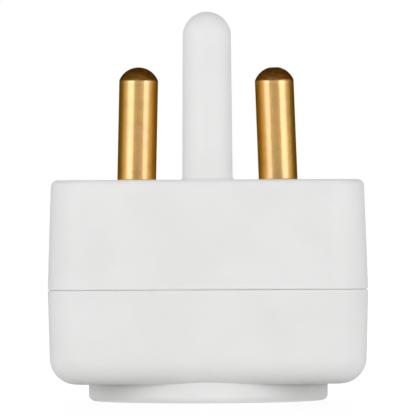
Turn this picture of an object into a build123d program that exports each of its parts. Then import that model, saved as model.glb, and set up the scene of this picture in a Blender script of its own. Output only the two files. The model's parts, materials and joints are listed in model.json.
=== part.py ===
import os
from math import cos, hypot, radians, sin, tan

from build123d import *

# Double socket adapter: a plug with three round pins on top, two flat two-pin sockets in the boss
# below. Sizes in mm, angles in degrees. X runs along the pin row, Z up to the pin tips, and the
# origin is the middle of the boss rim, which the adapter stands on.

# Body: two half shells that meet at the parting line
body_width = 56.8
body_depth = 49.4
corner_radius = 7.5
socket_shell_height = 16.7
plug_shell_height = 19.5
socket_shell_draft = 1.5
plug_shell_draft = 2.0
wall = 2.2
bottom_edge_radius = 4.7
top_edge_radius = 1.2
groove_depth = 0.7
groove_height = 0.15
groove_edge_radius = 0.35
lip_height = 1.6
lip_thickness = 0.95
lip_clearance = 0.1

# Round boss with the two sockets
boss_height = 3.35
boss_edge_radius = 1.1
rim_wall = 1.2
socket_depth = 10.0
socket_floor = 2.5
socket_web = 1.4
socket_wall = 1.6
socket_edge_chamfer = 0.35
flat_plug_width = 35.3
flat_plug_height = 13.7
flat_plug_flat = 26.0
flat_plug_corner_radius = 2.0
flat_plug_clearance = 0.4
flat_plug_pin_spacing = 19.0
flat_plug_pin_length = 19.0
socket_hole_diameter = 5.0

# Brass pins, measured at the plug face, from which they lean in
pin_diameter = 7.06
pin_length = 20.6
pin_spacing = 25.7
pin_row_y = 12.6
line_pin_lean = 2.0
neutral_pin_lean = 1.4
line_pin_tip_flat = 1.7
neutral_pin_tip_flat = 0.5
pin_dome_height = 2.45
pin_shoulder_radius = 0.35
pin_collar = 0.3
pin_neck_relief = 0.23
pin_hole_clearance = 0.15
pin_flange_radius = 4.6
pin_flange_thickness = 2.6
pin_seat_sink = 0.3
pin_root_radius = 3.2
pin_tail_radius = 2.0
pin_stake_radius = 2.4

# Earth pin, moulded with the plug shell and cored from inside
earth_pin_offset = 28.6
earth_pin_base_diameter = 8.95
earth_pin_tip_diameter = 8.55
earth_pin_length = 29.8
earth_pin_root_radius = 0.5
earth_pin_wall = 2.1
earth_boss_wall = 1.6
earth_boss_height = 3.4

# Plate that holds the pin flanges against the plug face
pin_ring_wall = 1.3
clamp_thickness = 1.8
clamp_half_width = 5.2
clamp_hole_clearance = 0.25
clamp_screw_spacing = 7.2
clamp_screw_post_radius = 2.4
clamp_screw_length = 4.6
clamp_screw_radius = 0.9
clamp_screw_head_radius = 1.8
clamp_screw_head_height = 1.3

# Busbars, contacts, their springs and rivets
busbar_thickness = 0.9
busbar_width = 6.0
busbar_pad_radius = 3.9
busbar_drop = 0.3
contact_thickness = 0.7
contact_width = 5.0
contact_arm_gap = 4.6
contact_throat_gap = 3.5
contact_mouth_gap = 5.5
contact_grip_depth = 9.5
contact_mouth_length = 3.0
contact_arm_rise = 2.2
contact_bend_radius = 0.8
contact_throat_radius = 1.4
spring_thickness = 0.5
spring_height = 2.5
spring_hook = 1.1
spring_inner_bend = 0.15
rivet_radius = 0.9
rivet_head_radius = 1.6
rivet_head_height = 0.5

# Shares of a head's radius: its flat end, and how far the arms of a screw's cross reach
screw_head_flat = 0.75
rivet_head_flat = 0.7
screw_cross_reach = 0.7

# Contact wells and ribs in the socket shell
well_wall = 1.2
well_clearance = 0.6
well_drop = 3.8
saddle_width = 4.0
saddle_thickness = 1.6
divider_thickness = 1.4
divider_drop = 1.0

# Screws that close the shells, sunk from the plug face
screw_inset = 6.4
screw_length = 16.0
screw_radius = 1.45
screw_head_radius = 2.5
screw_head_height = 1.9
screw_sink = 12.0
screw_clearance = 0.15
screw_point_length = 1.6
screw_post_radius = 2.9
screw_slot_width = 0.7
screw_slot_depth = 0.9
rib_thickness = 1.2

# Gap left between metal pieces that seat on each other, and how far the flare of the busbar's hole
# starts above the flare of the staked tail
seat_gap = 0.05
stake_lead = 0.2

# How far a face may lie from the height at which it is looked for
level_tolerance = 0.01

# Heights
parting_z = boss_height + socket_shell_height
face_z = parting_z + plug_shell_height
shell_floor_z = boss_height + wall
socket_floor_z = socket_depth + socket_floor
ceiling_z = face_z - wall

# Socket layout
recess_width = flat_plug_width + 2 * flat_plug_clearance
recess_height = flat_plug_height + 2 * flat_plug_clearance
recess_flat = flat_plug_flat + 2 * flat_plug_clearance
socket_pitch = recess_height + socket_web
hole_x = flat_plug_pin_spacing / 2
socket_y = socket_pitch / 2
recess_corner_reach = hypot(recess_flat / 2, socket_y + recess_height / 2)
recess_end_reach = hypot(recess_width / 2, socket_y)
boss_radius = max(recess_corner_reach, recess_end_reach) + rim_wall

# Plug layout
pin_radius = pin_diameter / 2
earth_pin_y = pin_row_y - earth_pin_offset
flange_top = -(wall - pin_seat_sink + seat_gap)
flange_bottom = flange_top - pin_flange_thickness
screw_x = body_width / 2 - screw_inset
screw_y = body_depth / 2 - screw_inset
screw_points = [(x, y) for y in (screw_y, -screw_y) for x in (screw_x, -screw_x)]
clamp_screw_points = [(0, pin_row_y + side * clamp_screw_spacing / 2) for side in (1, -1)]

# Stack of the metalwork, hung from the plug face
steepest_lean = radians(max(line_pin_lean, neutral_pin_lean))
clamp_top = face_z + flange_bottom - pin_flange_radius * sin(steepest_lean) - seat_gap
clamp_bottom = clamp_top - clamp_thickness
busbar_top = clamp_bottom - clamp_screw_head_height - busbar_drop
busbar_bottom = busbar_top - busbar_thickness
well_top = busbar_bottom - well_drop
divider_top = clamp_bottom - clamp_screw_head_height - divider_drop

# Wells, sized round the contact and its spring
well_x = contact_width + 2 * (spring_thickness + well_clearance)
well_y = contact_arm_gap + 2 * (contact_thickness + spring_thickness + well_clearance)
saddle_span = socket_pitch - well_y - well_wall
saddle_y = socket_y + well_y / 2 + well_wall + saddle_thickness / 2

# Screw seats
screw_seat_z = face_z - screw_sink
screw_end_z = screw_seat_z - screw_length


def lean_of(side):
    """Lean of the pin on one side, 1 for line and -1 for neutral, in radians."""
    return radians(line_pin_lean if side > 0 else neutral_pin_lean)


def pin_base(side):
    """Point where the middle of a pin crosses the plug face."""
    return Vector(side * pin_spacing / 2, pin_row_y, face_z)


def pin_direction(side):
    """Direction from the root of a pin to its tip."""
    return Vector(-side * sin(lean_of(side)), 0, cos(lean_of(side)))


def across_pin(side, along):
    """Plane square to a pin, at a distance along it from the plug face."""
    direction = pin_direction(side)
    return Plane(origin=pin_base(side) + direction * along, x_dir=(0, 1, 0), z_dir=direction)


def through_pin(side):
    """Plane that holds the pin's middle line, with its own Y along the pin."""
    outward = Vector(cos(lean_of(side)), 0, side * sin(lean_of(side)))
    return Plane(origin=pin_base(side), x_dir=outward, z_dir=(0, -1, 0))


def pin_centre_at(side, height):
    """X of a pin's middle line at a height."""
    return side * (pin_spacing / 2 + (face_z - height) * tan(lean_of(side)))


def body_outline(inset, mode=Mode.ADD):
    """Plan of the body at the parting line, moved in by an inset."""
    RectangleRounded(
        body_width - 2 * inset,
        body_depth - 2 * inset,
        corner_radius - inset,
        mode=mode,
    )


def screw_ribs():
    """Plan of the ribs that tie each screw post to the two walls beside it."""
    rib_length = screw_inset - wall / 2
    for x, y in screw_points:
        x_out = rib_length / 2 if x > 0 else -rib_length / 2
        y_out = rib_length / 2 if y > 0 else -rib_length / 2
        with Locations((x + x_out, y)):
            Rectangle(rib_length, rib_thickness)
        with Locations((x, y + y_out)):
            Rectangle(rib_thickness, rib_length)


def flat_faces_at(part, height):
    """Level faces of a part at one height, the largest last."""
    lowest = height - level_tolerance
    highest = height + level_tolerance
    level = part.faces().filter_by(Axis.Z).filter_by_position(Axis.Z, lowest, highest)
    return level.sort_by(SortBy.AREA)


def side_faces(part):
    """Faces of a straight block that stand upright."""
    return part.faces().filter_by(Axis.Z, reverse=True)


def recess_points():
    """Corners of the flat plug's outline, a rectangle with pointed ends."""
    half_flat = recess_flat / 2
    half_height = recess_height / 2
    half_width = recess_width / 2
    return [
        (half_flat, half_height),
        (-half_flat, half_height),
        (-half_width, 0),
        (-half_flat, -half_height),
        (half_flat, -half_height),
        (half_width, 0),
    ]


def export(piece, name):
    """Name a finished piece and write its file."""
    piece.label = name
    export_step(piece, f"parts/{name}.step")


os.makedirs("parts", exist_ok=True)

# Both recesses, as one outline
with BuildSketch() as recesses:
    with Locations((0, socket_y), (0, -socket_y)):
        Polygon(*recess_points(), align=None)
    fillet(recesses.vertices(), flat_plug_corner_radius)

# Socket shell
with BuildPart() as socket_shell:
    # Body, narrower towards the bottom, with a wide round edge
    with BuildSketch(Plane.XY.offset(boss_height)):
        body_outline(0)
    extrude(amount=socket_shell_height)
    draft(side_faces(socket_shell), Plane.XY.offset(parting_z), -socket_shell_draft)
    fillet(flat_faces_at(socket_shell, boss_height)[-1].edges(), bottom_edge_radius)

    # Round boss
    with BuildSketch():
        Circle(boss_radius)
    extrude(amount=boss_height + bottom_edge_radius)
    fillet(flat_faces_at(socket_shell, 0)[-1].edges(), boss_edge_radius)

    # Hollow inside, and the softened edge of the parting line
    with BuildPart(mode=Mode.SUBTRACT) as socket_hollow:
        with BuildSketch(Plane.XY.offset(shell_floor_z)):
            body_outline(wall)
        extrude(amount=parting_z - shell_floor_z)
        draft(side_faces(socket_hollow), Plane.XY.offset(parting_z), -socket_shell_draft)
        fillet(flat_faces_at(socket_hollow, shell_floor_z)[-1].edges(), bottom_edge_radius - wall)
    fillet(flat_faces_at(socket_shell, parting_z)[-1].outer_wire().edges(), groove_edge_radius)

    # Walls and floor round the recesses
    with BuildSketch(Plane.XY.offset(shell_floor_z)):
        add(recesses.sketch)
        offset(amount=socket_wall)
    extrude(amount=socket_floor_z - shell_floor_z)

    # Four contact wells, the saddles that carry the busbars, and the divider between line and neutral
    with BuildSketch(Plane.XY.offset(socket_floor_z)):
        with GridLocations(2 * hole_x, socket_pitch, 2, 2):
            Rectangle(well_x + 2 * well_wall, well_y + 2 * well_wall)
            Rectangle(well_x, well_y, mode=Mode.SUBTRACT)
    extrude(amount=well_top - socket_floor_z)
    with BuildSketch(Plane.XY.offset(socket_floor_z)):
        with Locations((hole_x, 0), (-hole_x, 0)):
            Rectangle(saddle_width, saddle_span)
        with Locations((hole_x, -saddle_y), (-hole_x, -saddle_y)):
            Rectangle(saddle_width, saddle_thickness)
    extrude(amount=busbar_bottom - socket_floor_z)
    with BuildSketch(Plane.XY.offset(socket_floor_z)):
        Rectangle(divider_thickness, socket_pitch + recess_height)
    extrude(amount=divider_top - socket_floor_z)

    # Screw posts, each tied to both walls by a rib
    with BuildSketch(Plane.XY.offset(shell_floor_z)):
        with Locations(*screw_points):
            Circle(screw_post_radius)
    extrude(amount=parting_z - shell_floor_z)
    with BuildSketch(Plane.XY.offset(boss_height + bottom_edge_radius)):
        screw_ribs()
    extrude(amount=socket_shell_height - bottom_edge_radius - lip_height - rib_thickness)

    # Recesses, pin holes and screw holes
    with BuildSketch():
        add(recesses.sketch)
    extrude(amount=socket_depth, mode=Mode.SUBTRACT)
    rim = flat_faces_at(socket_shell, 0)[-1]
    chamfer([edge for wire in rim.inner_wires() for edge in wire.edges()], socket_edge_chamfer)
    with BuildSketch(Plane.XY.offset(socket_depth)):
        with GridLocations(2 * hole_x, socket_pitch, 2, 2):
            Circle(socket_hole_diameter / 2)
    extrude(amount=socket_floor, mode=Mode.SUBTRACT)
    with BuildSketch(Plane.XY.offset(screw_end_z - screw_point_length)):
        with Locations(*screw_points):
            Circle(screw_radius + seat_gap)
    extrude(amount=parting_z - screw_end_z + screw_point_length, mode=Mode.SUBTRACT)

    # Rebate for the lip of the plug shell
    with BuildSketch(Plane.XY.offset(parting_z - lip_height - lip_clearance)):
        body_outline(wall - lip_thickness - lip_clearance)
        body_outline(wall + lip_clearance, mode=Mode.SUBTRACT)
    extrude(amount=lip_height + lip_clearance, mode=Mode.SUBTRACT)

export(socket_shell.part, "socket_shell")

# Plug shell with the earth pin
with BuildPart() as plug_shell:
    # Body, narrower towards the plug face
    with BuildSketch(Plane.XY.offset(parting_z)):
        body_outline(0)
    extrude(amount=plug_shell_height)
    draft(side_faces(plug_shell), Plane.XY.offset(parting_z), plug_shell_draft)
    fillet(flat_faces_at(plug_shell, face_z)[-1].edges(), top_edge_radius)

    # Hollow inside
    with BuildPart(mode=Mode.SUBTRACT) as plug_hollow:
        with BuildSketch(Plane.XY.offset(parting_z)):
            body_outline(wall)
        extrude(amount=ceiling_z - parting_z)
        draft(side_faces(plug_hollow), Plane.XY.offset(parting_z), plug_shell_draft)

    # Lip that nests in the socket shell
    with BuildSketch(Plane.XY.offset(parting_z - lip_height)):
        body_outline(wall - lip_thickness)
        body_outline(wall, mode=Mode.SUBTRACT)
    extrude(amount=lip_height + lip_thickness)

    # Groove along the parting line
    with BuildSketch(Plane.XY.offset(parting_z)):
        body_outline(-groove_depth)
        body_outline(groove_depth, mode=Mode.SUBTRACT)
    extrude(amount=groove_height, mode=Mode.SUBTRACT)

    # Inside rings for the pins and the earth pin, and posts for both kinds of screw
    with BuildSketch(Plane.XY.offset(clamp_top)):
        with Locations(*[(pin_centre_at(side, clamp_top), pin_row_y) for side in (1, -1)]):
            Circle(pin_flange_radius + pin_hole_clearance + pin_ring_wall)
        with Locations(*clamp_screw_points):
            Circle(clamp_screw_post_radius)
    extrude(amount=face_z - clamp_top - wall / 2)
    with BuildSketch(Plane.XY.offset(ceiling_z - earth_boss_height)):
        with Locations((0, earth_pin_y)):
            Circle(earth_pin_base_diameter / 2 + earth_boss_wall)
    extrude(amount=earth_boss_height + wall / 2)
    with BuildSketch(Plane.XY.offset(parting_z)):
        with Locations(*screw_points):
            Circle(screw_post_radius)
    extrude(amount=plug_shell_height - wall / 2)
    with BuildSketch(Plane.XY.offset(parting_z + rib_thickness)):
        screw_ribs()
    extrude(amount=plug_shell_height - rib_thickness - wall / 2)

    # Earth pin: tapered, with a half-round tip and a small flare at its root
    tip_radius = earth_pin_tip_diameter / 2
    base_radius = earth_pin_base_diameter / 2
    through_earth_pin = Plane(origin=(0, earth_pin_y, face_z), x_dir=(1, 0, 0), z_dir=(0, -1, 0))
    with BuildSketch(through_earth_pin):
        with BuildLine():
            root = (base_radius, earth_pin_root_radius)
            shoulder = (tip_radius, earth_pin_length - tip_radius)
            foot = (base_radius + earth_pin_root_radius, 0)
            Polyline((0, earth_pin_length), (0, -wall / 2), (foot[0], -wall / 2), foot)
            RadiusArc(foot, root, earth_pin_root_radius)
            Line(root, shoulder)
            RadiusArc(shoulder, (0, earth_pin_length), -tip_radius)
        make_face()
    revolve(axis=Axis((0, earth_pin_y, 0), (0, 0, 1)))
    core_foot = base_radius - earth_pin_wall
    core_top = tip_radius - earth_pin_wall
    core_start = -wall - earth_boss_height
    core_end = earth_pin_length - tip_radius
    with BuildSketch(through_earth_pin):
        Polygon(
            (0, core_start),
            (core_foot, core_start),
            (core_top, core_end),
            (0, core_end),
            align=None,
        )
    revolve(axis=Axis((0, earth_pin_y, 0), (0, 0, 1)), mode=Mode.SUBTRACT)

    # Leaning holes and flange seats for the brass pins
    for side in (1, -1):
        with BuildSketch(across_pin(side, flange_top + seat_gap)):
            Circle(pin_flange_radius + pin_hole_clearance)
        extrude(amount=-(face_z - clamp_bottom), mode=Mode.SUBTRACT)
        with BuildSketch(across_pin(side, -wall)):
            Circle(pin_radius + pin_hole_clearance)
        extrude(amount=2 * wall, mode=Mode.SUBTRACT)

    # Holes for the clamp screws and the sunk shell screws
    with BuildSketch(Plane.XY.offset(clamp_top)):
        with Locations(*clamp_screw_points):
            Circle(clamp_screw_radius + seat_gap)
    extrude(amount=clamp_screw_length - clamp_thickness + 2 * seat_gap, mode=Mode.SUBTRACT)
    with BuildSketch(Plane.XY.offset(screw_seat_z)):
        with Locations(*screw_points):
            Circle(screw_head_radius + screw_clearance)
    extrude(amount=screw_sink, mode=Mode.SUBTRACT)
    with BuildSketch(Plane.XY.offset(parting_z)):
        with Locations(*screw_points):
            Circle(screw_radius + screw_clearance)
    extrude(amount=screw_seat_z - parting_z, mode=Mode.SUBTRACT)

export(plug_shell.part, "plug_shell")


def make_pin(side, tip_flat):
    """Turned brass pin with a flange, a root, and a tail staked into the busbar."""
    lean = lean_of(side)
    neck_radius = pin_radius - pin_neck_relief
    dome_foot = pin_length - pin_dome_height
    root_end = (busbar_top + seat_gap - face_z + pin_root_radius * sin(lean)) / cos(lean)
    tail_end = (busbar_bottom + seat_gap - face_z + pin_stake_radius * sin(lean)) / cos(lean)
    stake_start = tail_end + busbar_thickness / 2
    dome_radius = (pin_radius**2 + pin_dome_height**2) / (2 * pin_dome_height)
    with BuildPart() as pin:
        with BuildSketch(through_pin(side)) as profile:
            with BuildLine():
                Polyline(
                    (0, pin_length),
                    (0, tail_end),
                    (pin_stake_radius, tail_end),
                    (pin_tail_radius, stake_start),
                    (pin_tail_radius, root_end),
                    (pin_root_radius, root_end),
                    (pin_root_radius, flange_bottom),
                    (pin_flange_radius, flange_bottom),
                    (pin_flange_radius, flange_top),
                    (neck_radius, flange_top),
                    (pin_radius, pin_collar),
                    (pin_radius, dome_foot),
                )
                RadiusArc((pin_radius, dome_foot), (0, pin_length), -dome_radius)
            make_face()
            shoulder = profile.vertices().sort_by(Axis.Y)[-2]
            fillet(shoulder, pin_shoulder_radius)
        revolve(axis=Axis(pin_base(side), pin_direction(side)))
        # Flat left by the parting tool at the tip
        cut = dome_radius - (dome_radius**2 - (tip_flat / 2) ** 2) ** 0.5
        with BuildSketch(across_pin(side, pin_length - cut)):
            Circle(pin_radius)
        extrude(amount=pin_dome_height, mode=Mode.SUBTRACT)
    return pin.part


export(make_pin(1, line_pin_tip_flat), "line_pin")
export(make_pin(-1, neutral_pin_tip_flat), "neutral_pin")

# Plate that clamps both pin flanges
with BuildPart() as pin_clamp:
    with BuildSketch(Plane.XY.offset(clamp_bottom)):
        with Locations((0, pin_row_y)):
            SlotCenterToCenter(2 * pin_centre_at(1, clamp_bottom), 2 * clamp_half_width)
        with Locations(*clamp_screw_points):
            Circle(clamp_screw_radius + screw_clearance, mode=Mode.SUBTRACT)
    extrude(amount=clamp_thickness)
    for side in (1, -1):
        with BuildSketch(across_pin(side, 0)):
            Circle(pin_root_radius + clamp_hole_clearance)
        extrude(amount=-(face_z - clamp_bottom + clamp_thickness), mode=Mode.SUBTRACT)

export(pin_clamp.part, "pin_clamp")


def make_screw(x, y, seat_z, up, radius, length, head_radius, head_height, point):
    """Cross-slotted screw; its shank runs from the seat, up for 1 and down for -1."""
    with BuildPart() as screw:
        with BuildSketch(Plane(origin=(x, y, seat_z), x_dir=(1, 0, 0), z_dir=(0, -1, 0))):
            with BuildLine():
                Polyline(
                    (0, -up * head_height),
                    (0, up * length),
                    (radius / 2, up * length),
                    (radius, up * (length - point)),
                    (radius, 0),
                    (head_radius, 0),
                    (head_radius, -up * head_height / 2),
                    (head_radius * screw_head_flat, -up * head_height),
                    close=True,
                )
            make_face()
        revolve(axis=Axis((x, y, 0), (0, 0, 1)))
        with BuildSketch(Plane(origin=(x, y, seat_z - up * head_height), z_dir=(0, 0, up))):
            Rectangle(2 * screw_cross_reach * head_radius, screw_slot_width)
            Rectangle(screw_slot_width, 2 * screw_cross_reach * head_radius)
        extrude(amount=screw_slot_depth, mode=Mode.SUBTRACT)
    return screw.part


for number, (x, y) in enumerate(clamp_screw_points, 1):
    clamp_screw = make_screw(
        x,
        y,
        clamp_bottom,
        1,
        clamp_screw_radius,
        clamp_screw_length,
        clamp_screw_head_radius,
        clamp_screw_head_height,
        clamp_screw_radius,
    )
    export(clamp_screw, f"clamp_screw_{number}")

for number, (x, y) in enumerate(screw_points, 1):
    shell_screw = make_screw(
        x,
        y,
        screw_seat_z,
        -1,
        screw_radius,
        screw_length,
        screw_head_radius,
        screw_head_height,
        screw_point_length,
    )
    export(shell_screw, f"shell_screw_{number}")


def make_busbar(side):
    """Brass strip along both contacts, with a round pad at the pin."""
    pad_x = pin_centre_at(side, busbar_bottom)
    with BuildPart() as busbar:
        with BuildSketch(Plane.XY.offset(busbar_bottom)):
            with Locations((side * hole_x, socket_y)):
                Circle(busbar_width / 2)
            with Locations((pad_x, pin_row_y)):
                Circle(busbar_pad_radius)
            make_hull()
            with Locations((side * hole_x, (socket_y - saddle_y - saddle_thickness / 2) / 2)):
                Rectangle(busbar_width, socket_y + saddle_y + saddle_thickness / 2)
            with Locations((side * hole_x, socket_y), (side * hole_x, -socket_y)):
                Circle(rivet_radius + seat_gap, mode=Mode.SUBTRACT)
        extrude(amount=busbar_thickness)
        # Countersunk hole for the staked tail, along the leaning pin
        hole_end = (busbar_bottom - seat_gap - face_z) / cos(lean_of(side))
        hole_top = hole_end + 2 * busbar_thickness
        flare_top = hole_end + busbar_thickness / 2 + stake_lead
        with BuildSketch(through_pin(side)):
            Polygon(
                (0, hole_end - busbar_thickness),
                (pin_stake_radius + pin_hole_clearance, hole_end - busbar_thickness),
                (pin_stake_radius + pin_hole_clearance, hole_end),
                (pin_tail_radius + pin_hole_clearance, flare_top),
                (pin_tail_radius + pin_hole_clearance, hole_top),
                (0, hole_top),
                align=None,
            )
        revolve(axis=Axis(pin_base(side), pin_direction(side)), mode=Mode.SUBTRACT)
    return busbar.part


def make_contact(x, y):
    """Strip folded into two leaves that hang from the busbar, close in at the throat and flare out."""
    throat_z = socket_depth + contact_grip_depth
    bridge_z = busbar_bottom - contact_thickness
    middle = contact_thickness / 2
    right_leaf = [
        (contact_mouth_gap / 2 + middle, throat_z - contact_mouth_length),
        (contact_throat_gap / 2 + middle, throat_z),
        (contact_arm_gap / 2 + middle, throat_z + contact_arm_rise),
        (contact_arm_gap / 2 + middle, bridge_z + middle),
    ]
    left_leaf = [(-across, height) for across, height in reversed(right_leaf)]
    bends = [contact_throat_radius, contact_bend_radius, contact_bend_radius]
    with BuildPart() as contact:
        with BuildSketch(Plane(origin=(x, y, 0), x_dir=(0, 1, 0), z_dir=(1, 0, 0))):
            with BuildLine():
                FilletPolyline(*right_leaf, *left_leaf, radius=bends + bends[::-1])
            trace(line_width=contact_thickness)
        extrude(amount=contact_width / 2, both=True)
        with BuildSketch(Plane.XY.offset(bridge_z)):
            with Locations((x, y)):
                Circle(rivet_radius + seat_gap)
        extrude(amount=contact_thickness, mode=Mode.SUBTRACT)
    return contact.part


def make_spring(x, y):
    """Steel clip bent round three sides of a contact, its ends hooked over the open side."""
    inner_x = contact_width / 2 + seat_gap
    inner_y = contact_arm_gap / 2 + contact_thickness + seat_gap
    throat_z = socket_depth + contact_grip_depth
    middle_z = (throat_z + contact_arm_rise + busbar_bottom - contact_thickness) / 2
    with BuildPart() as spring:
        with BuildSketch(Plane((x, y, middle_z - spring_height / 2))):
            outer_x = inner_x + spring_thickness
            outer_y = inner_y + spring_thickness
            RectangleRounded(2 * outer_x, 2 * outer_y, spring_inner_bend + spring_thickness)
            RectangleRounded(2 * inner_x, 2 * inner_y, spring_inner_bend, mode=Mode.SUBTRACT)
            with Locations((-inner_x, 0)):
                Rectangle(4 * spring_thickness, 2 * (inner_y - spring_hook), mode=Mode.SUBTRACT)
        extrude(amount=spring_height)
    return spring.part


def make_rivet(x, y):
    """Rivet through a busbar and the bridge of a contact, headed on both sides."""
    foot = busbar_bottom - contact_thickness
    with BuildPart() as rivet:
        with BuildSketch(Plane(origin=(x, y, 0), x_dir=(1, 0, 0), z_dir=(0, -1, 0))):
            with BuildLine():
                Polyline(
                    (0, foot - rivet_head_height),
                    (rivet_head_radius * rivet_head_flat, foot - rivet_head_height),
                    (rivet_head_radius, foot - rivet_head_height / 2),
                    (rivet_head_radius, foot),
                    (rivet_radius, foot),
                    (rivet_radius, busbar_top),
                    (rivet_head_radius, busbar_top),
                    (rivet_head_radius, busbar_top + rivet_head_height / 2),
                    (rivet_head_radius * rivet_head_flat, busbar_top + rivet_head_height),
                    (0, busbar_top + rivet_head_height),
                    close=True,
                )
            make_face()
        revolve(axis=Axis((x, y, 0), (0, 0, 1)))
    return rivet.part


for polarity, side in (("line", 1), ("neutral", -1)):
    export(make_busbar(side), f"{polarity}_busbar")
    for number, y in enumerate((socket_y, -socket_y), 1):
        export(make_contact(side * hole_x, y), f"{polarity}_contact_{number}")
        export(make_spring(side * hole_x, y), f"{polarity}_spring_{number}")
        export(make_rivet(side * hole_x, y), f"{polarity}_rivet_{number}")
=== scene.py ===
"""Double socket adapter: finishes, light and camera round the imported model. Lengths are in metres."""
import json
from math import cos, pi, radians, sin

import bpy
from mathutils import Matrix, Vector


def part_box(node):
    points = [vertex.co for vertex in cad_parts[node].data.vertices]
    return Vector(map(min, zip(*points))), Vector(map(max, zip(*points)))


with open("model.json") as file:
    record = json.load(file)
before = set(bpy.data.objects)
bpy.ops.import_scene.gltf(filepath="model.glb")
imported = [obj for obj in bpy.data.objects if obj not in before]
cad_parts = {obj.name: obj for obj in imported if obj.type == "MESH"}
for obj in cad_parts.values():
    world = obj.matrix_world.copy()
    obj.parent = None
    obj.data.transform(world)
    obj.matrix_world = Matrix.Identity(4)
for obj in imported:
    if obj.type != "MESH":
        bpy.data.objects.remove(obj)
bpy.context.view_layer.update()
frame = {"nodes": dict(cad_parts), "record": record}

MM = 0.001

# The photograph's view: a long lens, level, at half the adapter's height with its pins
PHOTO_WIDTH_PX = 416
FOCAL_PX = 6673
SENSOR_MM = 36
CAMERA_X = 0.08 * MM
CAMERA_DISTANCE = 1.2
CAMERA_HEIGHT = 34.535 * MM
CAMERA_ROLL = radians(0.26)
CAMERA_NEAR = 0.05
CAMERA_FAR = 20.0

# The floor, and the hole in it under the round boss that the adapter stands on
FLOOR_HALF = 3.0
BOSS_RADIUS = 21.46 * MM
HOLE_EDGE = 0.2 * MM
PAPER_DARK = (0.86, 0.86, 0.86)
PAPER_LIGHT = (0.9, 0.9, 0.9)
PAPER_ROUGHNESS = 0.3
PAPER_SPECKS = 900.0
FLOOR_GLOW = 1.05
NO_GLOW = (0.0, 0.0, 0.0)
FULL_GLOW = (1.0, 1.0, 1.0)

# The groove between the two shells: the height of its middle, how far up and down from there its painted
# light, a lighter white that lifts the groove's shade, is full, and where that ends
GROOVE_HEIGHT = 20.1 * MM
GROOVE_FULL = 0.08 * MM
GROOVE_END = 0.2 * MM
# Painted light: a lighter white in the parting groove that lifts its shade
GROOVE_PAINTED_LIGHT = (0.97, 0.97, 0.965)

# The moulded plastics. A scale of noise, here and below, is its number of waves in a metre
WHITE = (0.80, 0.80, 0.795)
WHITE_ROUGHNESS = 0.42
PLATE_BLACK = (0.05, 0.045, 0.04)
PLATE_ROUGHNESS = 0.5
PLASTIC_IOR = 1.47
MOULD_GRAIN = 5200.0
MOULD_SPECKS = 1400.0
MOULD_FLOW = 90.0

# The brass pins: how far their domes reach down from the top, how soft the dome's foot is, the fade of the
# painted highlight on the shoulder under that foot, and how far each pin leans in
DOME_HEIGHT = 2.5 * MM
DOME_SOFTNESS = 0.15 * MM
SHOULDER_START = 0.7 * MM
SHOULDER_FULL = 0.35 * MM
LINE_PIN_LEAN = radians(2.0)
NEUTRAL_PIN_LEAN = radians(-1.4)

# The finish of the brass pins, and of the pale gloss over it
BRASS = (0.93, 0.485, 0.05)
BRASS_TARNISH = (0.4, 0.155, 0.02)
# Painted highlight: a paler brass for the shoulder under the dome's foot
BRASS_SHOULDER_HIGHLIGHT = (0.97, 0.6, 0.18)
BRASS_AT_GLANCE = (0.42, 0.23, 0.08)
BRASS_ROUGHNESS = 0.35
GLOSS_ROUGHNESS = 0.16
GLOSS_IOR = 2.8
TURNING_RINGS = (18, 18, 5200)
BRASS_GRAIN = 3600.0
TARNISH_CLOUDS = 420.0
DOME_BURNS = 900.0
BURNS_FLATTENED = (1, 1, 1.8)

# The metals inside, and the scales of their rolling grain and their stains
STRIP_BRASS = (0.75, 0.5, 0.2)
CONTACT_BRONZE = (0.6, 0.34, 0.16)
SPRING_STEEL = (0.45, 0.46, 0.48)
SCREW_STEEL = (0.6, 0.6, 0.58)
ROLLING_GRAIN = (2600, 120, 900)
STRIP_STAINS = 300.0

# The numbers of a Mix node's inputs and output when it mixes colours
MIX_FACTOR = 0
MIX_FIRST = 6
MIX_SECOND = 7
MIX_RESULT = 2


class Value:
    """A number socket. An expression on such sockets adds the Math nodes that work it out."""

    def __init__(self, shader, socket):
        self.shader = shader
        self.socket = socket

    def __add__(self, other):
        return self.shader.math("ADD", self, other)

    def __radd__(self, other):
        return self.shader.math("ADD", other, self)

    def __sub__(self, other):
        return self.shader.math("SUBTRACT", self, other)

    def __rsub__(self, other):
        return self.shader.math("SUBTRACT", other, self)

    def __mul__(self, other):
        return self.shader.math("MULTIPLY", self, other)

    def __rmul__(self, other):
        return self.shader.math("MULTIPLY", other, self)

    def __truediv__(self, other):
        return self.shader.math("DIVIDE", self, other)

    def __rtruediv__(self, other):
        return self.shader.math("DIVIDE", other, self)


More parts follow.
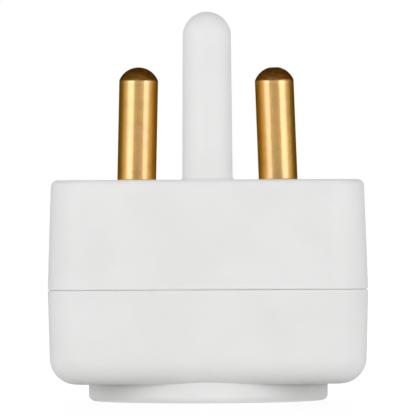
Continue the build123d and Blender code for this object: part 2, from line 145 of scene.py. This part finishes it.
class Shader:
    """The node tree of one material or world, with short ways to add its nodes."""

    def __init__(self, tree):
        self.tree = tree
        self.tree.nodes.clear()

    def node(self, kind, settings=None, sockets=None):
        """Adds a node, makes its settings first, then feeds each input named or numbered in sockets."""
        made = self.tree.nodes.new(kind)
        for name, setting in (settings or {}).items():
            setattr(made, name, setting)
        for name, value in (sockets or {}).items():
            self.feed(made.inputs[name], value)
        return made

    def feed(self, socket, value):
        """Links an input where the value is a socket, and sets it otherwise. A colour gets an alpha of 1."""
        if isinstance(value, Value):
            value = value.socket
        if isinstance(value, bpy.types.NodeSocket):
            self.tree.links.new(value, socket)
        elif socket.type == "RGBA":
            socket.default_value = (*value, 1.0)
        else:
            socket.default_value = value

    def math(self, operation, *values, clamp=False):
        """The result of one operation on the values, in their order."""
        settings = {"operation": operation, "use_clamp": clamp}
        made = self.node("ShaderNodeMath", settings, dict(enumerate(values)))
        return Value(self, made.outputs[0])

    def ramp(self, value, start, end, low=0.0, high=1.0):
        """A smooth change from low, where the value is at start, to high, where it is at end."""
        sockets = {"Value": value, "From Min": start, "From Max": end, "To Min": low, "To Max": high}
        made = self.node("ShaderNodeMapRange", {"interpolation_type": "SMOOTHSTEP"}, sockets)
        return Value(self, made.outputs["Result"])

    def mix(self, factor, first, second):
        """A colour that is the first where the factor is 0, and the second where it is 1."""
        sockets = {MIX_FACTOR: factor, MIX_FIRST: first, MIX_SECOND: second}
        return self.node("ShaderNodeMix", {"data_type": "RGBA"}, sockets).outputs[MIX_RESULT]

    def noise(self, vector, scale, detail=3.0, roughness=0.5):
        """Layered noise from 0 to 1 at a place. More detail adds finer layers."""
        sockets = {"Vector": vector, "Scale": scale, "Detail": detail, "Roughness": roughness}
        return Value(self, self.node("ShaderNodeTexNoise", {}, sockets).outputs["Fac"])

    def object_place(self):
        """Object coordinates, in metres."""
        return self.node("ShaderNodeTexCoord").outputs["Object"]

    def part_of(self, vector, axis):
        """One of a vector's three numbers."""
        return Value(self, self.node("ShaderNodeSeparateXYZ", {}, {"Vector": vector}).outputs[axis])

    def length_of(self, vector):
        """The root of the sum of a vector's squared numbers."""
        made = self.node("ShaderNodeVectorMath", {"operation": "LENGTH"}, {"Vector": vector})
        return Value(self, made.outputs["Value"])

    def stretch(self, vector, scale, turn=(0, 0, 0)):
        """The place made finer or coarser along each axis, and turned about the origin."""
        sockets = {"Vector": vector, "Rotation": turn, "Scale": scale}
        return self.node("ShaderNodeMapping", {}, sockets).outputs["Vector"]

    def bump(self, height, strength, distance, normal=None):
        """A normal bent by a height that stands for distance at 1, on top of another one if it is given."""
        sockets = {"Height": height, "Strength": strength, "Distance": distance}
        if normal is not None:
            sockets["Normal"] = normal
        return self.node("ShaderNodeBump", {}, sockets).outputs["Normal"]

    def rays(self):
        """Three masks of the ray that sees the surface: from the camera, mirrored, and through glass."""
        path = self.node("ShaderNodeLightPath")
        kinds = ("Is Camera Ray", "Is Glossy Ray", "Is Transmission Ray")
        return [Value(self, path.outputs[kind]) for kind in kinds]


def new_material(name):
    """An empty material, and the shader that fills its tree."""
    material = bpy.data.materials.new(name)
    material.use_nodes = True
    return material, Shader(material.node_tree)


def finish_material(shader, surface):
    """Makes the given node the surface of the material."""
    shader.node("ShaderNodeOutputMaterial", {}, {"Surface": surface.outputs[0]})


def moulded_plastic(name, colour, roughness, groove=None):
    """Satin injection-moulded plastic: fine spark-eroded grain, faint flow unevenness.

    The tint goes from 0.982 to 1.012 times the colour by a smooth ramp of the flow noise. Where groove gives
    the height of a parting groove, the tint is mixed toward a lighter white, painted light that lifts the
    shade in the groove. That mask is 1 as far as GROOVE_FULL from the height and falls to 0 at GROOVE_END
    from it.
    The roughness is the given one, plus a small share of how far the flow and the specks are from one half.
    The fine grain bends the normal first, and the flow bends it again.
    """
    material, shader = new_material(name)
    place = shader.object_place()
    fine = shader.noise(place, MOULD_GRAIN, detail=2.0)
    flow = shader.noise(place, MOULD_FLOW)
    specks = shader.noise(place, MOULD_SPECKS, detail=1.0)
    darker = tuple(part * 0.982 for part in colour)
    paler = tuple(part * 1.012 for part in colour)
    tint = shader.mix(shader.ramp(flow, 0.35, 0.65), darker, paler)
    if groove is not None:
        off_groove = shader.math("ABSOLUTE", shader.part_of(place, "Z") - groove)
        # Painted light: the groove's tint is mixed toward a lighter white to lift its shade
        groove_painted_light = shader.ramp(off_groove, GROOVE_FULL, GROOVE_END, 1.0, 0.0)
        tint = shader.mix(groove_painted_light, tint, GROOVE_PAINTED_LIGHT)
    uneven = roughness + (flow - 0.5) * 0.05 + (specks - 0.5) * 0.06
    relief = shader.bump(fine, 0.1, 0.02 * MM)
    relief = shader.bump(flow, 0.05, 0.15 * MM, relief)
    sockets = {"Base Color": tint, "Roughness": uneven, "Normal": relief, "IOR": PLASTIC_IOR}
    finish_material(shader, shader.node("ShaderNodeBsdfPrincipled", {}, sockets))
    return material


def turned_brass(name, node, lean):
    """Turned brass: fine rings round the pin's own middle line, a dark patchy dome, a painted highlight on
    the shoulder.

    The place is turned by the pin's lean, so that the rings stand square to the pin. The dome's mask rises
    from 0 to 1 as the height passes its foot. The shoulder's mask is such a rise a little lower, times one
    less the dome's mask. The clean share is one less the clouds' part, times one less the burns' part on the
    dome. The tint goes from brass to tarnish by one less that share, plus some grain, and then half way to
    a paler brass on the shoulder, a painted highlight. The gloss is a coat. Its weight is full where the
    surface faces the eye and a tenth toward the pin's sides, times a fifth on the dome, times 0.88 and a
    little more or less with the grain.
    """
    material, shader = new_material(name)
    place = shader.stretch(shader.object_place(), (1, 1, 1), turn=(0, lean, 0))
    rings = shader.noise(shader.stretch(place, TURNING_RINGS), 1.0, detail=2.0)
    grain = shader.noise(place, BRASS_GRAIN, detail=2.0, roughness=0.6)
    clouds = shader.noise(place, TARNISH_CLOUDS, detail=4.0)
    burns = shader.noise(shader.stretch(place, BURNS_FLATTENED), DOME_BURNS)
    below_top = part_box(node)[1][2] - shader.part_of(shader.object_place(), "Z")
    dome = shader.ramp(below_top, DOME_HEIGHT + DOME_SOFTNESS, DOME_HEIGHT - DOME_SOFTNESS)
    # Painted highlight: the shoulder under the dome's foot is tinted half way to a paler brass
    shoulder = shader.ramp(below_top, DOME_HEIGHT + SHOULDER_START, DOME_HEIGHT + SHOULDER_FULL)
    shoulder = shoulder * (1.0 - dome)
    clean = 1.0 - shader.ramp(clouds, 0.42, 0.78) * 0.3
    clean = clean * (1.0 - dome * shader.ramp(burns, 0.4, 0.6, 0.68, 1.0))
    tint = shader.mix(1.0 - clean + (grain - 0.5) * 0.3, BRASS, BRASS_TARNISH)
    tint = shader.mix(shoulder * 0.5, tint, BRASS_SHOULDER_HIGHLIGHT)
    uneven = BRASS_ROUGHNESS + (rings - 0.5) * 0.1 + (grain - 0.5) * 0.12 + dome * 0.12
    turned_away = Value(shader, shader.node("ShaderNodeLayerWeight", {}, {"Blend": 0.5}).outputs["Facing"])
    gloss = shader.ramp(turned_away, 0.1, 0.4, 1.0, 0.1) * (1.0 - dome * 0.8)
    gloss = gloss * (0.88 + (grain - 0.5) * 0.9)
    relief = shader.bump(rings, 0.06, 0.02 * MM)
    relief = shader.bump(grain, 0.16, 0.03 * MM, relief)
    relief = shader.bump(clouds, 0.4, 0.1 * MM, relief)
    metal = {"Base Color": tint, "Metallic": 1.0, "Roughness": uneven, "Specular Tint": BRASS_AT_GLANCE}
    coat = {"Coat Weight": gloss, "Coat Roughness": GLOSS_ROUGHNESS, "Coat IOR": GLOSS_IOR}
    sockets = {**metal, **coat, "Normal": relief}
    finish_material(shader, shader.node("ShaderNodeBsdfPrincipled", {}, sockets))
    return material


def strip_metal(name, colour, roughness):
    """Rolled or plated strip metal with a fine lengthways grain.

    The tint goes from the colour to 0.8 times it by a smooth ramp of the stains. The roughness is the given
    one, plus a share of how far the grain is from one half.
    """
    material, shader = new_material(name)
    place = shader.object_place()
    grain = shader.noise(shader.stretch(place, ROLLING_GRAIN), 1.0)
    stains = shader.noise(place, STRIP_STAINS)
    darker = tuple(part * 0.8 for part in colour)
    tint = shader.mix(shader.ramp(stains, 0.3, 0.8), colour, darker)
    uneven = roughness + (grain - 0.5) * 0.15
    relief = shader.bump(grain, 0.15, 0.01 * MM)
    sockets = {"Base Color": tint, "Metallic": 1.0, "Roughness": uneven, "Normal": relief}
    finish_material(shader, shader.node("ShaderNodeBsdfPrincipled", {}, sockets))
    return material


def dress_cad_nodes():
    """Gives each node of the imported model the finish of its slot, and each brass pin one of its own."""
    materials = {
        "white_plastic": moulded_plastic("white_plastic", WHITE, WHITE_ROUGHNESS, GROOVE_HEIGHT),
        "insulating_plate": moulded_plastic("insulating_plate", PLATE_BLACK, PLATE_ROUGHNESS),
        "line_pin": turned_brass("line_pin_brass", "line_pin", LINE_PIN_LEAN),
        "neutral_pin": turned_brass("neutral_pin_brass", "neutral_pin", NEUTRAL_PIN_LEAN),
        "strip_brass": strip_metal("strip_brass", STRIP_BRASS, roughness=0.3),
        "contact_bronze": strip_metal("contact_bronze", CONTACT_BRONZE, roughness=0.32),
        "spring_steel": strip_metal("spring_steel", SPRING_STEEL, roughness=0.3),
        "screw_steel": strip_metal("screw_steel", SCREW_STEEL, roughness=0.28),
    }
    slots = {part["node"]: part["material_slot"] for part in frame["record"]["subparts"]}
    for name, piece in frame["nodes"].items():
        material = materials.get(name) or materials[slots[name]]
        for place in piece.material_slots:
            place.material = material


def floor_material():
    """Paper that is white to the camera, with the adapter's soft shadow left on it.

    A white glow covers 0.86 of what the camera sees near the adapter and all of it farther out, which
    leaves the shadow. For a mirrored ray it covers nothing near the adapter and all of it farther out. Its
    level there falls from the front to the sides, and is higher in a narrow wedge straight behind and near
    the middle. How far behind a place lies is its Y over its distance from the middle. From below, the
    camera looks through the floor. Under the boss a round hole lets light reach the sockets: its mask is 1
    inside the boss's radius.
    """
    material, shader = new_material("floor_paper")
    place = shader.object_place()
    tint = shader.mix(shader.noise(place, PAPER_SPECKS, detail=2.0), PAPER_DARK, PAPER_LIGHT)
    paper = shader.node("ShaderNodeBsdfPrincipled", {}, {"Base Color": tint, "Roughness": PAPER_ROUGHNESS})
    away = shader.length_of(place)
    rearward = shader.part_of(place, "Y") / away
    seen, glossy, through = shader.rays()
    mirrored = shader.math("ADD", glossy, through, clamp=True)
    level = shader.ramp(rearward, -0.9, -0.1, 0.55, 0.14)
    level = level + shader.ramp(rearward, 0.985, 0.995, 0.0, 0.86)
    level = level + shader.ramp(away, 0.3, 0.6, 0.4, 0.0)
    glow = shader.mix(seen + mirrored * level, NO_GLOW, FULL_GLOW)
    white = shader.node("ShaderNodeEmission", {}, {"Color": glow, "Strength": FLOOR_GLOW})
    cover = seen * shader.ramp(away, 0.05, 0.35, 0.86, 1.0) + mirrored * shader.ramp(away, 0.1, 0.25)
    sides = {1: paper.outputs[0], 2: white.outputs[0]}
    covered = shader.node("ShaderNodeMixShader", {}, {"Fac": cover, **sides})
    below = Value(shader, shader.node("ShaderNodeNewGeometry").outputs["Backfacing"])
    hole = shader.ramp(away, BOSS_RADIUS, BOSS_RADIUS + HOLE_EDGE, 1.0, 0.0)
    clear = shader.node("ShaderNodeBsdfTransparent")
    open_share = shader.math("MAXIMUM", below * seen, hole)
    sides = {1: covered.outputs[0], 2: clear.outputs[0]}
    finish_material(shader, shader.node("ShaderNodeMixShader", {}, {"Fac": open_share, **sides}))
    return material


def make_floor():
    """One flat square at height 0, with its middle under the adapter."""
    near, far = -FLOOR_HALF, FLOOR_HALF
    corners = [(near, near, 0), (far, near, 0), (far, far, 0), (near, far, 0)]
    mesh = bpy.data.meshes.new("floor")
    mesh.from_pydata(corners, [], [(0, 1, 2, 3)])
    mesh.materials.append(floor_material())
    floor = bpy.data.objects.new("floor", mesh)
    bpy.context.collection.objects.link(floor)


def make_world():
    """White behind the object, and for its light a soft room.

    The room's level is a product of smooth ramps of the direction: it rises toward the front, falls with
    height, and is low under the horizon. A band just above the horizon adds a share to it, a larger one
    toward the two sides. A mirrored ray sees a room that is dark behind and at the sides, paler in front,
    and white in a small round patch straight behind. The camera sees 1, and so does a ray through glass.
    """
    world = bpy.data.worlds.new("studio")
    bpy.context.scene.world = world
    world.use_nodes = True
    shader = Shader(world.node_tree)
    direction = shader.node("ShaderNodeTexCoord").outputs["Generated"]
    toward_front = shader.part_of(direction, "Y") * -1.0
    upward = shader.part_of(direction, "Z")
    sideways = shader.math("ABSOLUTE", shader.part_of(direction, "X"))
    room = shader.ramp(toward_front, -0.6, 0.9, 1.08, 1.24) * shader.ramp(upward, 0.08, 0.5, 1.0, 0.45)
    low_band = shader.ramp(upward, 0.04, 0.2, 0.35, 0.0) * shader.ramp(sideways, 0.2, 0.8, 1.0, 2.6)
    room = room * (1.0 + low_band) * shader.ramp(upward, -0.1, 0.0, 0.42, 1.0)
    mirrored = shader.ramp(toward_front, 0.1, 0.9, 0.08, 0.4) * shader.ramp(upward, 0.3, 0.75, 1.0, 1.2)
    backdrop = shader.ramp(toward_front, -0.995, -0.985, 1.0, 0.0)
    mirrored = mirrored + backdrop * (1.0 - mirrored)
    from_camera, glossy, through = shader.rays()
    seen = shader.math("ADD", from_camera, through, clamp=True)
    level = room + (mirrored - room) * glossy
    strength = seen + (1.0 - seen) * level
    background = shader.node("ShaderNodeBackground", {}, {"Color": FULL_GLOW, "Strength": strength})
    shader.node("ShaderNodeOutputWorld", {}, {"Surface": background.outputs[0]})
    world.cycles.sampling_method = "NONE"


def make_lamp(name, azimuth, elevation, distance, width, height, radiance):
    """A soft lamp that faces the object.

    Azimuth 0 is at the camera and grows to the right. The lamp stands at its distance from a point above the
    origin, at the camera's height. Its power is pi times its area times its radiance.
    """
    lamp = bpy.data.lights.new(name, "AREA")
    lamp.shape = "RECTANGLE"
    lamp.size = width
    lamp.size_y = height
    lamp.energy = radiance * pi * width * height
    holder = bpy.data.objects.new(name, lamp)
    bpy.context.collection.objects.link(holder)
    across = radians(azimuth)
    up = radians(elevation)
    direction = Vector((sin(across) * cos(up), -cos(across) * cos(up), sin(up)))
    middle = Vector((0, 0, CAMERA_HEIGHT))
    holder.location = middle + direction * distance
    holder.rotation_mode = "QUATERNION"
    holder.rotation_quaternion = direction.to_track_quat("Z", "Y")
    holder.visible_camera = False


def make_lamps():
    """On each side a wide spill, a softbox in it and a bright core, and one softbox behind."""
    make_lamp("left_spill", azimuth=-64, elevation=5, distance=1.7, width=2.2, height=1.25, radiance=0.58)
    make_lamp("left_softbox", azimuth=-47, elevation=5, distance=1.65, width=1.3, height=1.6, radiance=0.68)
    make_lamp("left_core", azimuth=-41, elevation=5, distance=1.6, width=0.95, height=1.3, radiance=0.56)
    make_lamp("right_spill", azimuth=64, elevation=5, distance=1.7, width=2.2, height=1.25, radiance=0.55)
    make_lamp("right_softbox", azimuth=47, elevation=5, distance=1.65, width=1.3, height=1.6, radiance=0.68)
    make_lamp("right_core", azimuth=44, elevation=5, distance=1.6, width=0.9, height=1.3, radiance=0.56)
    make_lamp("back_softbox", azimuth=180, elevation=14, distance=1.7, width=1.3, height=1.2, radiance=0.65)


def make_camera():
    """The photograph's camera: level, looking along +Y, turned so that the right side stands higher.

    The lens is the focal length in pixels, over the photograph's width, times the sensor's width.
    """
    camera = bpy.data.cameras.new("camera")
    camera.sensor_width = SENSOR_MM
    camera.lens = FOCAL_PX / PHOTO_WIDTH_PX * SENSOR_MM
    camera.clip_start = CAMERA_NEAR
    camera.clip_end = CAMERA_FAR
    holder = bpy.data.objects.new("camera", camera)
    bpy.context.collection.objects.link(holder)
    holder.location = (CAMERA_X, -CAMERA_DISTANCE, CAMERA_HEIGHT)
    holder.rotation_euler = (pi / 2, CAMERA_ROLL, 0)
    bpy.context.scene.camera = holder


bpy.context.scene.view_settings.view_transform = "Standard"
dress_cad_nodes()
make_floor()
make_world()
make_lamps()
make_camera()
